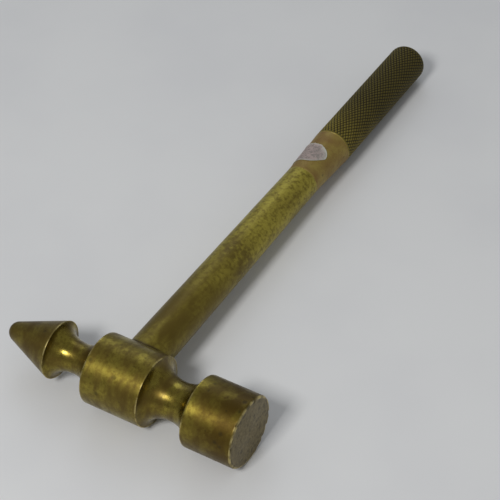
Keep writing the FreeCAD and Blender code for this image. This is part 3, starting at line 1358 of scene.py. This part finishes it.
@dataclass
class Driver:
    """A flat-blade screwdriver: blade, ferrule and hollow knurled handle.

    The ferrule carries the blade in its nose and a hollow screwed neck in the handle's mouth.

    Attributes:
        name: Name of the driver, as in its CAD nodes.
        blade_r: Radius of the blade's round part.
        tip_mm: Thickness of the ground tip.
        grind_mm: Length of the ground faces.
        nose_r: Radius of the ferrule's blade end.
        tang: Depth of the blade in the ferrule.
        thread_r: Radius of the screwed mouth.
        bore_r: Radius of the handle's hollow.
        thread_length: Length of the screwed mouth.
        thread_pitch: Pitch of the screw.
        end_wall: Thickness of the handle's closed end.
        edge: Rounding at the handle's ends.
        knurl_pitch: Spacing of the knurl's grooves.
        knurl_depth: Depth of the knurl's grooves.
        columns: Vertices round the ferrule.
        THREAD_GAP: Play of a screwed neck in its mouth.
        TANG_GAP: Play of the blade in its hole.
        END_GAP: Space left at the blind end of that hole.
    """

    name: str
    blade_r: float
    tip_mm: float
    grind_mm: float
    nose_r: float
    tang: float
    thread_r: float
    bore_r: float
    thread_length: float
    thread_pitch: float
    end_wall: float
    edge: float
    knurl_pitch: float
    knurl_depth: float
    columns: int = 144

    THREAD_GAP = 0.05
    TANG_GAP = 0.03
    END_GAP = 0.2

    def span(self, part: str) -> tuple[float, float]:
        """Stations of the two ends of one of the driver's CAD nodes."""
        return AXES.span(f"{self.name}_{part}")

    def handle_radius(self) -> float:
        """Radius of the handle, from the frame."""
        return AXES.radius(f"{self.name}_handle")

    def build(self, steel: bpy.types.Material, brass: bpy.types.Material) -> None:
        """Make the driver's pieces and dress them.

        Args:
            steel: Material of the blade.
            brass: Material of the ferrule and the handle.
        """
        finish_piece(self.blade(), f"{self.name}_blade", f"{self.name}_blade", steel)
        finish_piece(self.ferrule(), f"{self.name}_ferrule", f"{self.name}_ferrule", brass)
        finish_piece(self.handle(), f"{self.name}_handle", f"{self.name}_handle", brass)

    def blade(self) -> bpy.types.Object:
        """Round rod whose end is ground to a flat tip.

        Returns:
            The blade.
        """
        start, end = self.span("blade")
        return ground_blade(f"{self.name}_blade_ground", start, end, self.blade_r, self.grind_mm,
                            self.tip_mm)

    def ferrule(self) -> bpy.types.Object:
        """Cone-nosed ferrule with a hollow screwed neck.

        Returns:
            The ferrule.
        """
        start, end = self.span("ferrule")
        mouth = self.span("handle")[0]
        neck_r, hole_r = self.thread_r - self.THREAD_GAP, self.blade_r + self.TANG_GAP
        radius = self.handle_radius()
        corners = [
            Corner(start + self.tang + self.END_GAP, 0.0),
            Corner(start + self.tang + self.END_GAP, hole_r, 0.0, "hole"),
            Corner(start, hole_r, 0.0, "hole"),
            Corner(start, self.nose_r, 0.15, "nose"),
            Corner(mouth - 1.1, radius - 0.25, 0.5, "nose", 0.4),
            Corner(mouth, radius, 0.15, "nose", 0.4),
            Corner(mouth, neck_r, 0.0, "nose"),
            Corner(end, neck_r, 0.15, "thread", self.thread_pitch / 8),
            Corner(end, self.bore_r, 0.05, "hole"),
            Corner(mouth, self.bore_r, 0.0, "hole"),
            Corner(mouth, 0.0, 0.0, "hole"),
        ]
        depth = min(0.3 * self.thread_pitch, 0.45 * (neck_r - self.bore_r))
        reliefs: list[Relief] = [ScrewThread("thread", self.thread_pitch, depth, mouth + 0.3, end)]
        return spin(f"{self.name}_ferrule_turned", corners, 0.2, self.columns, reliefs)

    def hollow(self, edge: float, step: float) -> list[Corner]:
        """Hollow of the handle, with its screwed mouth.

        Args:
            edge: Rounding of the mouth.
            step: Greatest distance between rings in the thread.

        Returns:
            The corners from the blind end to the mouth.
        """
        start, end = self.span("handle")
        blind, seat = end - self.end_wall, start + self.thread_length
        return [
            Corner(blind, 0.0),
            Corner(blind, self.bore_r, 0.0, "hole"),
            Corner(seat, self.bore_r, 0.0, "hole"),
            Corner(seat, self.thread_r, 0.0, "hole"),
            Corner(start, self.thread_r, edge, "thread", step),
        ]

    def handle(self) -> bpy.types.Object:
        """Closed-ended knurled tube.

        Returns:
            The handle.
        """
        start, end = self.span("handle")
        radius = self.handle_radius()
        knurl = DiamondKnurl(self.knurl_pitch, self.knurl_depth, start + self.edge + 0.3,
                             end - self.edge - 0.3)
        columns = knurl.grooves_round(radius) * COLUMNS_PER_GROOVE
        corners = self.hollow(0.12, self.thread_pitch / 8) + [
            Corner(start, radius, self.edge, "rim"),
            Corner(knurl.start, radius, 0.0, "plain"),
            Corner(knurl.end, radius, 0.0, "knurl", self.knurl_pitch / 4),
            Corner(end, radius, self.edge, "plain"),
            Corner(end, 0.0, 0.0, "end", 0.6),
        ]
        depth = min(0.3 * self.thread_pitch, 0.4 * (radius - self.thread_r - self.knurl_depth))
        thread = ScrewThread("thread", self.thread_pitch, depth, start + 0.2, start + self.thread_length)
        return spin(f"{self.name}_handle_knurled", corners, 0.2, columns, [knurl, thread])


def ground_blade(name: str, start: float, end: float, radius: float, grind: float,
                 tip: float) -> bpy.types.Object:
    """Round steel rod ground flat towards its tip on two sides.

    Args:
        name: Name of the piece.
        start: Station of the tip.
        end: Station of the other end.
        radius: Radius of the rod.
        grind: Length of the ground faces.
        tip: Thickness at the tip.

    Returns:
        The blade.
    """
    corners = [
        Corner(start, 0.0),
        Corner(start, radius, 0.08, "tip"),
        Corner(start + grind, radius, 0.0, "ground", 0.4),
        Corner(end, radius, 0.1, "rod", 2.0),
        Corner(end, 0.0),
    ]

    def grind_flat(points: np.ndarray) -> np.ndarray:
        """Hold the points between two planes that close in on the tip.

        Args:
            points: Positions in millimetres, one row each.

        Returns:
            The positions on the ground blade.
        """
        share = np.clip((points[:, 1] - start) / grind, 0, 1)
        half = tip / 2 + (radius * 1.1 - tip / 2) * share
        ground = points.copy()
        ground[:, 2] = np.clip(points[:, 2], -half, half)
        return ground

    return spin(name, corners, 0.15, columns=72, reliefs=[], press=grind_flat, sharp_deg=20.0)


@dataclass
class GripDriver(Driver):
    """The largest driver: its ferrule is the flared band and its handle is the hammer's grip.

    Attributes:
        cavity_y: Station of the blind end of the ferrule's hollow.
        seam_y: Station where the band meets the shank.
        shank_thread_r: Radius of the shank's threaded mouth.
        sag: Hollowness of the band's outline.
        end_round: Rounding of the grip's end.
        steps: Straight steps in the band's outline and in the grip's rounded end.
    """

    cavity_y: float = 111.5
    seam_y: float = 101.5
    shank_thread_r: float = 4.3
    sag: float = 0.07
    end_round: float = 3.0
    steps: tuple[int, int] = (12, 9)

    def build(self, steel: bpy.types.Material, brass: bpy.types.Material) -> None:
        """Make the band, the grip and the blade and dress them.

        Args:
            steel: Material of the blade.
            brass: Material of the inner drivers, which this one doesn't share.
        """
        band = AgedBrass("brass_turned_band", clean="#9B8840", tarnish="#80642F", grime_and_shade="#372D18",
                         rubbed="#94803C", cloud_mm=6.0, cover=0.5, rough_clean=0.5, rough_tarnish=0.6,
                         lay=Lay.HANDLE, lay_height=0.003, spot_share=0.25, metal_clean=0.5,
                         metal_tarnish=0.4)
        # The grip's near-black colour for its grooves is painted shade and dirt in the knurl.
        grip = GripBrass("brass_knurled_grip", clean="#9A8B3A", tarnish="#786A29", grime_and_shade="#0E0B06",
                         rubbed="#9A8742", cloud_mm=8.0, cover=0.55, rough_clean=0.48, rough_tarnish=0.6,
                         spot_share=0.2, metal_clean=0.7, metal_tarnish=0.6, film=0.0)
        finish_piece(self.blade(), "driver1_blade", "driver1_blade", steel)
        finish_piece(self.ferrule(), "driver1_ferrule", "driver1_ferrule", band.build())
        finish_piece(self.handle(), "driver1_handle", "driver1_handle", grip.build())

    def band_radius(self, along: float) -> float:
        """Radius of the flared band.

        Args:
            along: Station along the handle.

        Returns:
            The radius there.
        """
        grip_y, grip_r = self.span("handle")[0], self.handle_radius()
        share = (along - self.seam_y) / (grip_y - self.seam_y)
        return self.nose_r + (grip_r - self.nose_r) * share - 4 * self.sag * share * (1 - share)

    def ferrule(self) -> bpy.types.Object:
        """Flared band with a screwed neck at each end.

        Returns:
            The ferrule.
        """
        start, end = self.span("ferrule")
        tang_end, grip_y = self.span("blade")[1], self.span("handle")[0]
        shank_neck, grip_neck = self.shank_thread_r - self.THREAD_GAP, self.thread_r - self.THREAD_GAP
        hole_r, hole_end = self.blade_r + self.TANG_GAP, tang_end + self.END_GAP
        corners = [
            Corner(hole_end, 0.0),
            Corner(hole_end, hole_r, 0.0, "hole"),
            Corner(start, hole_r, 0.0, "hole"),
            Corner(start, shank_neck, 0.3, "hole"),
            Corner(self.seam_y, shank_neck, 0.0, "shank_thread", THREAD_STEP),
            Corner(self.seam_y, self.band_radius(self.seam_y), 0.14, "plain"),
        ]
        for k in range(1, self.steps[0]):
            along = self.seam_y + (grip_y - self.seam_y) * k / self.steps[0]
            corners.append(Corner(along, self.band_radius(along), 0.0, "band", 0.7))
        corners += [
            Corner(grip_y, self.band_radius(grip_y), 0.12, "band", 0.5),
            Corner(grip_y, grip_neck, 0.0, "plain"),
            Corner(end, grip_neck, 0.25, "grip_thread", THREAD_STEP),
            Corner(end, self.bore_r, 0.1, "hole"),
            Corner(self.cavity_y, self.bore_r, 0.0, "hole"),
            Corner(self.cavity_y, 0.0, 0.0, "hole"),
        ]
        reliefs: list[Relief] = [
            Uneven(0.02, 8.0, ("band",)),
            Dings("band", 6, (0.3, 0.7), (0.01, 0.03), 31),
            ScrewThread("shank_thread", self.thread_pitch, 0.42, start + 0.2, self.seam_y - 0.6),
            ScrewThread("grip_thread", self.thread_pitch, 0.3, grip_y + 0.6, end - 0.2),
        ]
        return spin("band_ferrule", corners, 0.25, self.columns, reliefs)

    def handle(self) -> bpy.types.Object:
        """Knurled grip with a rounded, closed end.

        Returns:
            The grip.
        """
        start, end = self.span("handle")
        radius = self.handle_radius()
        knurl = DiamondKnurl(self.knurl_pitch, self.knurl_depth, start + 0.35, end - 1.6, 0.5)
        columns = knurl.grooves_round(radius) * COLUMNS_PER_GROOVE
        step = self.knurl_pitch / 4.4
        corners = self.hollow(0.2, THREAD_STEP) + [
            Corner(start, radius, self.edge, "rim"),
            Corner(end - self.end_round, radius, 0.0, "knurl", step),
        ]
        for k in range(1, self.steps[1] + 1):
            turn = k / self.steps[1] * math.pi / 2
            along = end - self.end_round + self.end_round * math.sin(turn)
            out = radius - self.end_round + self.end_round * math.cos(turn)
            corners.append(Corner(along, out, 0.0, "knurl", step))
        corners.append(Corner(end, 0.0, 0.0, "end", 0.5))
        reliefs: list[Relief] = [
            knurl,
            Dings("end", 12, (0.25, 0.6), (0.01, 0.04), 41, flat=True),
            ScrewThread("thread", self.thread_pitch, 0.3, start + 0.3, start + self.thread_length),
        ]
        return spin("grip_knurled", corners, 0.25, columns, reliefs)


@dataclass
class SmallestDriver:
    """The innermost driver: a solid knurled handle with its blade pressed in.

    Attributes:
        blade_r: Radius of the blade's round part.
        tip_mm: Thickness of the ground tip.
        grind_mm: Length of the ground faces.
        tang: Depth of the blade in the handle.
        edge: Rounding at the handle's end, and the size of the step at its nose.
    """

    blade_r: float = 0.8
    tip_mm: float = 0.3
    grind_mm: float = 3.2
    tang: float = 4.0
    edge: float = 0.3

    def build(self, steel: bpy.types.Material, brass: bpy.types.Material) -> None:
        """Make the driver's two pieces and dress them.

        Args:
            steel: Material of the blade.
            brass: Material of the handle.
        """
        start, end = AXES.span("driver4_handle")
        radius = AXES.radius("driver4_handle")
        knurl = DiamondKnurl(0.5, 0.1, start + 1.2, end - 0.6, 0.3)
        corners = [
            Corner(start + self.tang, 0.0),
            Corner(start + self.tang, self.blade_r + 0.01, 0.0, "hole"),
            Corner(start, self.blade_r + 0.01, 0.0, "hole"),
            Corner(start, self.blade_r + self.edge, 0.08, "plain"),
            Corner(start + 2 * self.edge, radius, 0.1, "plain"),
            Corner(knurl.start, radius, 0.0, "plain"),
            Corner(knurl.end, radius, 0.0, "knurl", 0.12),
            Corner(end, radius, self.edge, "plain"),
            Corner(end, 0.0, 0.0, "end", 0.5),
        ]
        columns = knurl.grooves_round(radius) * COLUMNS_PER_GROOVE
        handle = spin("driver4_handle_knurled", corners, 0.15, columns, [knurl])
        finish_piece(handle, "driver4", "driver4_handle", brass)
        blade = ground_blade("driver4_blade_ground", *AXES.span("driver4_blade"), self.blade_r,
                             self.grind_mm, self.tip_mm)
        finish_piece(blade, "driver4", "driver4_blade", steel)


@dataclass
class PriceLabel:
    """Torn remnant of a blank paper label, stuck round the flared band.

    Attributes:
        band: The driver whose band it is stuck on.
        stations: Stations of the label's cut edge and of its torn edge.
        angles: Angles of the rounded end and of the torn end round the band, in degrees.
        round_deg: Angle over which the rounded end widens.
        tip_y: Station of the rounded end's tip.
        tear_deg: Angle over which the torn end narrows.
        bare_mm: Width of the bare fibre along the torn edge.
        bare_deg: Angle from the rounded end over which that fibre shows.
        curl_mm: Lift of the paper at its torn edge and at its rim.
        thickness: Thickness of the paper, in millimetres.
        gap: Glue line under it.
        columns: Steps round the band.
        rows: Steps along it.
    """

    band: GripDriver
    stations: tuple[float, float] = (105.4, 114.4)
    angles: tuple[float, float] = (50.0, 212.0)
    round_deg: float = 50.0
    tip_y: float = 110.0
    tear_deg: float = 26.0
    bare_mm: float = 1.1
    bare_deg: float = 32.0
    curl_mm: tuple[float, float] = (0.09, 0.06)
    thickness: float = 0.08
    gap: float = 0.03
    columns: int = 120
    rows: int = 44

    def edges(self, turn: float) -> tuple[float, float]:
        """Stations of the two edges of the label at one angle.

        Args:
            turn: Angle round the band, in degrees.

        Returns:
            The cut edge, which sweeps up to the tip, and the torn edge, which drops steeply to it.
        """
        low, high = self.stations
        into = min(1.0, (turn - self.angles[0]) / self.round_deg)
        bottom = low + (self.tip_y - low) * (1 - into) ** 2
        ragged = 0.4 * noise.noise(Vector((turn / 9.0, 3.1, 0)))
        ragged += 0.25 * noise.noise(Vector((turn / 3.0, 7.7, 0)))
        top = high - (high - self.tip_y) * (1 - math.sqrt(into)) ** 1.4 + ragged * into
        leave = max(0.0, (turn - self.angles[1] + self.tear_deg) / self.tear_deg)
        narrow = leave ** 2 * (top - bottom) * 0.55
        return bottom, max(top - narrow, bottom + 0.02)

    def build(self) -> None:
        """Make the label and dress it."""
        outer, inner, worn = [], [], []
        for i in range(self.columns + 1):
            turn = self.angles[0] + (self.angles[1] - self.angles[0]) * i / self.columns
            low, high = self.edges(turn)
            for j in range(self.rows + 1):
                share = j / self.rows
                along = low + (high - low) * share
                rim = min(share, 1 - share) * (high - low)
                torn = (1 - share) * (high - low)
                curl = self.curl_mm[0] * math.exp(-torn / 0.7) + self.curl_mm[1] * math.exp(-rim / 0.4)
                crease = 0.04 * noise.noise(Vector((turn / 14.0, along / 1.4, 1.5)))
                crease += 0.02 * noise.noise(Vector((turn / 5.0, along / 0.6, 8.5)))
                base = self.band.band_radius(along) + self.gap
                lift = max(0.0, curl + crease + 0.03)
                for shell, height in ((outer, lift + self.thickness), (inner, lift * 0.8)):
                    across = (base + height) * math.cos(math.radians(turn))
                    up = (base + height) * math.sin(math.radians(turn))
                    shell.append((across, along, up))
                bare = math.exp(-torn / self.bare_mm) * (turn < self.angles[0] + self.bare_deg)
                tip = math.exp(-max(0.0, turn - self.angles[0]) / 9.0)
                worn.append(max(math.exp(-rim / 0.22), 0.9 * tip, bare))
        count = self.rows + 1
        total = len(outer)
        faces: list[tuple[int, ...]] = []
        for i in range(self.columns):
            for j in range(self.rows):
                a, b = i * count + j, (i + 1) * count + j
                c, d = b + 1, a + 1
                faces += [(a, b, c, d), (total + d, total + c, total + b, total + a)]
        loop = [i * count for i in range(self.columns + 1)]
        loop += [self.columns * count + j for j in range(1, count)]
        loop += [i * count + self.rows for i in range(self.columns - 1, -1, -1)]
        loop += [j for j in range(self.rows - 1, 0, -1)]
        for a, b in zip(loop, loop[1:] + loop[:1]):
            faces.append((b, a, total + a, total + b))
        piece = add_mesh("label_paper", AXES.place(np.array(outer + inner)), faces, 60.0)
        mark(piece, "wear", np.array(worn + worn))
        paper = LabelPaper("paper_label_torn").build()
        finish_piece(piece, "driver1_blade", "price_label", paper)


# ---------------------------------------------------------------------------------------
# Studio
# ---------------------------------------------------------------------------------------

@dataclass
class Studio:
    """Camera, soft lights, and the pale board that the tool lies on.

    Attributes:
        target: Point that the camera looks at, in metres, in the frame.
        distance: Distance from the camera to that point.
        azimuth: Direction of view round the vertical; 0 looks along +Y.
        elevation: Angle at which the camera looks down.
        roll: Turn of the picture about the line of sight.
        lens: Focal length on a sensor 36 mm wide.
        board: Half the width of the board.
        ease: Half the length over which the board starts to fall.
        room_light: Strength of the even light in the room.
        key: Azimuth, elevation, distance, width and power of the key lamp.
        window: The same for the large, dim lamp behind it.
    """

    target: tuple[float, float, float] = (-0.00285, -0.01094, 0.0)
    distance: float = 0.53785
    azimuth: float = 32.824
    elevation: float = 43.423
    roll: float = -2.719
    lens: float = 121.5
    board: float = 2.4
    ease: float = 0.02
    room_light: float = 0.33
    key: tuple[float, float, float, float, float] = (-91.0, 46.0, 0.9, 0.20, 3.75)
    window: tuple[float, float, float, float, float] = (123, 40, 1.6, 0.85, 2.3)

    def camera(self) -> None:
        """Set up the camera."""
        data = bpy.data.cameras.new("view")
        data.lens = self.lens
        data.sensor_width = 36.0
        data.clip_start = 0.02
        holder = bpy.data.objects.new("view", data)
        bpy.context.scene.collection.objects.link(holder)
        turn = Matrix.Rotation(math.radians(self.azimuth), 3, "Z")
        turn = turn @ Matrix.Rotation(math.radians(90 - self.elevation), 3, "X")
        away = turn @ Vector((0, 0, self.distance))
        turn = turn @ Matrix.Rotation(math.radians(self.roll), 3, "Z")
        holder.matrix_world = Matrix.Translation(Vector(self.target) + away) @ turn.to_4x4()
        bpy.context.scene.camera = holder

    def floor(self) -> None:
        """Lay the board: level under the tool, and falling past the grip at the handle's own slope.

        A driver that is drawn out along its axis then stays on top of the board.
        """
        fall_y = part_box("driver1_handle")[1].y
        ease = self.ease
        bend = [fall_y - ease + 2 * ease * k / 8 for k in range(1, 9)]
        steps = [-self.board, fall_y - ease, *bend, self.board]
        points, faces = [], []
        for y in steps:
            past = y - fall_y
            drop = max(0.0, past) if abs(past) > ease else (past + ease) ** 2 / (4 * ease)
            for x in (-self.board, self.board):
                points.append((x, y, -math.tan(AXES.slope) * drop))
        for k in range(len(steps) - 1):
            faces.append((2 * k, 2 * k + 1, 2 * k + 3, 2 * k + 2))
        board = add_mesh("board", np.array(points), faces, 60.0)
        board.data.materials.append(PaleBoard("board_painted").build())

    def lamp(self, name: str, azimuth: float, elevation: float, distance: float, size: float,
             watts: float, colour: str) -> None:
        """Hang one square soft lamp that faces the middle of the tool.

        Args:
            name: Name of the lamp.
            azimuth: Direction it stands in, in degrees from +X towards +Y.
            elevation: Height above the horizon, in degrees.
            distance: Distance from the middle of the tool, in metres.
            size: Width of the lamp.
            watts: Its power.
            colour: Its colour.
        """
        data = bpy.data.lights.new(name, "AREA")
        data.size, data.energy, data.color = size, watts, srgb(colour)[:3]
        holder = bpy.data.objects.new(name, data)
        bpy.context.scene.collection.objects.link(holder)
        turn, rise = math.radians(azimuth), math.radians(elevation)
        way = Vector((math.cos(rise) * math.cos(turn), math.cos(rise) * math.sin(turn), math.sin(rise)))
        holder.location = way * distance
        holder.rotation_euler = way.to_track_quat("Z", "Y").to_euler()

    def room(self) -> None:
        """Fill the room with dim, even light."""
        world = bpy.data.worlds.new("room")
        world.use_nodes = True
        background = world.node_tree.nodes["Background"]
        background.inputs["Color"].default_value = srgb("#FBFDFF")
        background.inputs["Strength"].default_value = self.room_light
        bpy.context.scene.world = world

    def build(self) -> None:
        """Set up everything that isn't part of the tool."""
        bpy.context.scene.view_settings.view_transform = "Standard"
        self.camera()
        self.floor()
        self.room()
        self.lamp("key", *self.key, "#FFFFFF")
        self.lamp("window", *self.window, "#E8F1FF")


# ---------------------------------------------------------------------------------------
# The whole tool
# ---------------------------------------------------------------------------------------

GRIP_DRIVER = GripDriver("driver1", blade_r=2.5, tip_mm=0.9, grind_mm=14.0, nose_r=5.72, tang=14.7,
                         thread_r=5.3, bore_r=4.45, thread_length=8.0, thread_pitch=1.0, end_wall=4.0,
                         edge=0.3, knurl_pitch=1.0, knurl_depth=0.26)
INNER_DRIVERS = [
    Driver("driver2", blade_r=1.75, tip_mm=0.7, grind_mm=7.0, nose_r=2.6, tang=4.4, thread_r=3.45,
           bore_r=2.8, thread_length=6.0, thread_pitch=0.8, end_wall=2.0, edge=0.6, knurl_pitch=0.8,
           knurl_depth=0.2, columns=112),
    Driver("driver3", blade_r=1.1, tip_mm=0.45, grind_mm=4.5, nose_r=1.55, tang=3.2, thread_r=2.0,
           bore_r=1.58, thread_length=4.5, thread_pitch=0.6, end_wall=1.4, edge=0.35, knurl_pitch=0.6,
           knurl_depth=0.14, columns=96),
]


def main() -> None:
    """Build the studio and every piece of the tool; each piece logs its face count."""
    logging.basicConfig(level=logging.INFO, format="%(name)s: %(message)s")
    Studio().build()
    steel = GroundSteel("steel_ground_blade").build()
    inner = AgedBrass("brass_turned_inner", clean="#C2A65A", tarnish="#96793A", grime_and_shade="#4A3A1C",
                      rubbed="#DCC88A", cloud_mm=8.0, cover=0.35, rough_clean=0.3, rough_tarnish=0.42,
                      lay=Lay.HANDLE, lay_height=0.002, spot_share=0.2, metal_clean=1.0,
                      metal_tarnish=0.9).build()
    HammerHead().build()
    Shank().build()
    GRIP_DRIVER.build(steel, inner)
    for driver in INNER_DRIVERS:
        driver.build(steel, inner)
    SmallestDriver().build(steel, inner)
    PriceLabel(GRIP_DRIVER).build()


if __name__ == "__main__":
    main()
